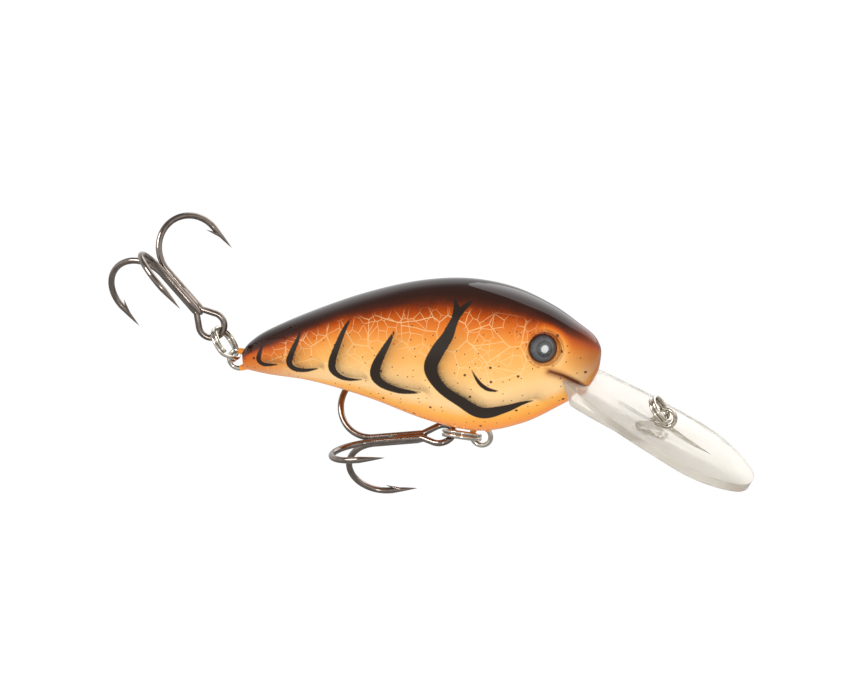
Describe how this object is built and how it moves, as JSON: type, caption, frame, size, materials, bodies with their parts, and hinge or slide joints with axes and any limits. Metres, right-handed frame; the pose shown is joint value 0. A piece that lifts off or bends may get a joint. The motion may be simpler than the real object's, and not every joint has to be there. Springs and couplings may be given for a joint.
{
  "type": "crankbait lure",
  "caption": "Fish-shaped diving crankbait: two-piece painted shell, long clear bill with a line tie, split rings and hanging treble hooks.",
  "frame": {"origin": "centre of the line tie's wire eye on the bill, where the fishing line pulls", "axes": "+X from tail to nose, +Z towards the back, +Y towards the lure's left side"},
  "size_m": [0.1144, 0.0231, 0.054],
  "materials": {
    "shell": "gloss lacquer over airbrushed brown back, orange sides and belly",
    "clear_bill": "clear moulded plastic",
    "nickel": "bright nickel-plated wire",
    "hook": "black nickel plate",
    "eye_foil": "dark foil",
    "eye_lens": "domed dark clear resin",
    "ballast": "plain steel",
    "rattle_ball": "polished steel"
  },
  "bodies": {
    "lure_body": {"right_shell": "shell", "left_shell": "shell", "diving_bill": "clear_bill", "line_tie_wire": "nickel", "belly_hanger": "nickel", "tail_hanger": "nickel", "right_eye_disc": "eye_foil", "right_eye_lens": "eye_lens", "left_eye_disc": "eye_foil", "left_eye_lens": "eye_lens", "ballast_weight": "ballast"},
    "line_ring": {"line_tie_ring": "nickel"},
    "belly_ring": {"belly_split_ring": "nickel"},
    "belly_hook": {"belly_hook_pair": "hook", "belly_hook_single": "hook"},
    "tail_ring": {"tail_split_ring": "nickel"},
    "tail_hook": {"tail_hook_pair": "hook", "tail_hook_single": "hook"},
    "rear_ball": {"rear_rattle": "rattle_ball"},
    "middle_ball": {"middle_rattle": "rattle_ball"}
  },
  "joints": [
    {"name": "line_ring_swing", "type": "hinge", "parent": "lure_body", "child": "line_ring", "pos_m": [0.00028, 0, -0.00056], "axis": [0, 1, 0], "range_deg": [-20, 120]},
    {"name": "belly_ring_swing", "type": "hinge", "parent": "lure_body", "child": "belly_ring", "pos_m": [-0.03413, 0, -0.00298], "axis": [0, -1, 0], "range_deg": [0, 100]},
    {"name": "belly_hook_swing", "type": "hinge", "parent": "belly_ring", "child": "belly_hook", "pos_m": [-0.04054, 0, -0.00187], "axis": [0.0692, -0.9135, 0.4008], "range_deg": [0, 50]},
    {"name": "tail_ring_swing", "type": "hinge", "parent": "lure_body", "child": "tail_ring", "pos_m": [-0.07695, 0, 0.01333], "axis": [0, -1, 0], "range_deg": [-20, 140]},
    {"name": "tail_hook_turn", "type": "hinge", "parent": "tail_ring", "child": "tail_hook", "pos_m": [-0.07956, 0, 0.01775], "axis": [0.7886, 0.2385, 0.5667], "range_deg": [-35, 35]},
    {"name": "rear_ball_roll", "type": "slide", "parent": "lure_body", "child": "rear_ball", "axis": [1, 0, 0], "range_m": [-0.002, 0.0035]},
    {"name": "middle_ball_roll", "type": "slide", "parent": "lure_body", "child": "middle_ball", "axis": [1, 0, 0], "range_m": [-0.0035, 0.004]}
  ]
}
